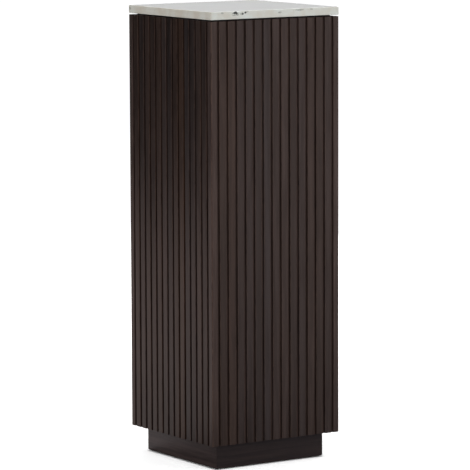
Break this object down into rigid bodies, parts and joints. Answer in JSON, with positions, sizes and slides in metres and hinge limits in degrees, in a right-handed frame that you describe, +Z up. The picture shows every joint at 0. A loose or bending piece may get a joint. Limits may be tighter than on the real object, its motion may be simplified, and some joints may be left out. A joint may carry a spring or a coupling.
{
  "type": "display plinth",
  "caption": "Tall square column plinth faced with vertical dark wood slats, on a set-back base with screw levelling feet, under a thin pale stone slab with a shadow gap.",
  "frame": {"origin": "on the floor at the middle of the plan, with the levelling feet wound in", "axes": "+Z up; front is -Y, back is +Y, left is -X, right is +X"},
  "size_m": [0.305, 0.305, 0.914],
  "materials": {
    "honed_marble": "honed",
    "stained_walnut": "dark stain, satin lacquer",
    "stained_board": "veneered fibreboard, dark stain, satin lacquer",
    "raw_board": "raw fibreboard",
    "black_board": "matt black",
    "softwood": "planed",
    "zinc_steel": "zinc plated",
    "black_nylon": "moulded",
    "sole_rubber": "matt",
    "adhesive": "cured silicone"
  },
  "bodies": {
    "carcass": {"stone_top": "honed_marble", "slats_front": "stained_walnut", "slats_right": "stained_walnut", "slats_back": "stained_walnut", "slats_left": "stained_walnut", "corner_post_front_left": "stained_walnut", "corner_post_front_right": "stained_walnut", "corner_post_back_right": "stained_walnut", "corner_post_back_left": "stained_walnut", "base_board_front": "stained_walnut", "base_board_right": "stained_walnut", "base_board_back": "stained_walnut", "base_board_left": "stained_walnut", "carcass_panel_front": "stained_board", "carcass_panel_right": "stained_board", "carcass_panel_back": "stained_board", "carcass_panel_left": "stained_board", "top_deck": "raw_board", "bottom_deck": "raw_board", "mid_diaphragm": "raw_board", "shadow_gap_spacer": "black_board", "corner_batten_front_left": "softwood", "corner_batten_front_right": "softwood", "corner_batten_back_right": "softwood", "corner_batten_back_left": "softwood", "base_block_front_left": "softwood", "base_block_front_right": "softwood", "base_block_back_right": "softwood", "base_block_back_left": "softwood", "spacer_screws": "zinc_steel", "deck_screws": "zinc_steel", "batten_screws": "zinc_steel", "block_screws": "zinc_steel", "board_screws": "zinc_steel", "leveler_inserts": "zinc_steel", "adhesive_dabs": "adhesive"},
    "foot_pad_front_left": {"leveler_pad_front_left": "black_nylon", "leveler_sole_front_left": "sole_rubber"},
    "foot_screw_front_left": {"leveler_stem_front_left": "zinc_steel"},
    "foot_pad_front_right": {"leveler_pad_front_right": "black_nylon", "leveler_sole_front_right": "sole_rubber"},
    "foot_screw_front_right": {"leveler_stem_front_right": "zinc_steel"},
    "foot_pad_back_right": {"leveler_pad_back_right": "black_nylon", "leveler_sole_back_right": "sole_rubber"},
    "foot_screw_back_right": {"leveler_stem_back_right": "zinc_steel"},
    "foot_pad_back_left": {"leveler_pad_back_left": "black_nylon", "leveler_sole_back_left": "sole_rubber"},
    "foot_screw_back_left": {"leveler_stem_back_left": "zinc_steel"}
  },
  "joints": [
    {"name": "foot_travel_front_left", "type": "slide", "parent": "carcass", "child": "foot_pad_front_left", "axis": [0, 0, -1], "range_m": [0, 0.01]},
    {"name": "foot_screw_turn_front_left", "type": "hinge", "parent": "foot_pad_front_left", "child": "foot_screw_front_left", "pos_m": [-0.0935, -0.0935, 0.0085], "axis": [0, 0, -1], "range_deg": [0, 2880]},
    {"name": "foot_travel_front_right", "type": "slide", "parent": "carcass", "child": "foot_pad_front_right", "axis": [0, 0, -1], "range_m": [0, 0.01]},
    {"name": "foot_screw_turn_front_right", "type": "hinge", "parent": "foot_pad_front_right", "child": "foot_screw_front_right", "pos_m": [0.0935, -0.0935, 0.0085], "axis": [0, 0, -1], "range_deg": [0, 2880]},
    {"name": "foot_travel_back_right", "type": "slide", "parent": "carcass", "child": "foot_pad_back_right", "axis": [0, 0, -1], "range_m": [0, 0.01]},
    {"name": "foot_screw_turn_back_right", "type": "hinge", "parent": "foot_pad_back_right", "child": "foot_screw_back_right", "pos_m": [0.0935, 0.0935, 0.0085], "axis": [0, 0, -1], "range_deg": [0, 2880]},
    {"name": "foot_travel_back_left", "type": "slide", "parent": "carcass", "child": "foot_pad_back_left", "axis": [0, 0, -1], "range_m": [0, 0.01]},
    {"name": "foot_screw_turn_back_left", "type": "hinge", "parent": "foot_pad_back_left", "child": "foot_screw_back_left", "pos_m": [-0.0935, 0.0935, 0.0085], "axis": [0, 0, -1], "range_deg": [0, 2880]}
  ],
  "couplings": [
    {"joint": "foot_screw_turn_front_left", "follows": "foot_travel_front_left", "rad_per_m": 5026.5},
    {"joint": "foot_screw_turn_front_right", "follows": "foot_travel_front_right", "rad_per_m": 5026.5},
    {"joint": "foot_screw_turn_back_right", "follows": "foot_travel_back_right", "rad_per_m": 5026.5},
    {"joint": "foot_screw_turn_back_left", "follows": "foot_travel_back_left", "rad_per_m": 5026.5}
  ]
}
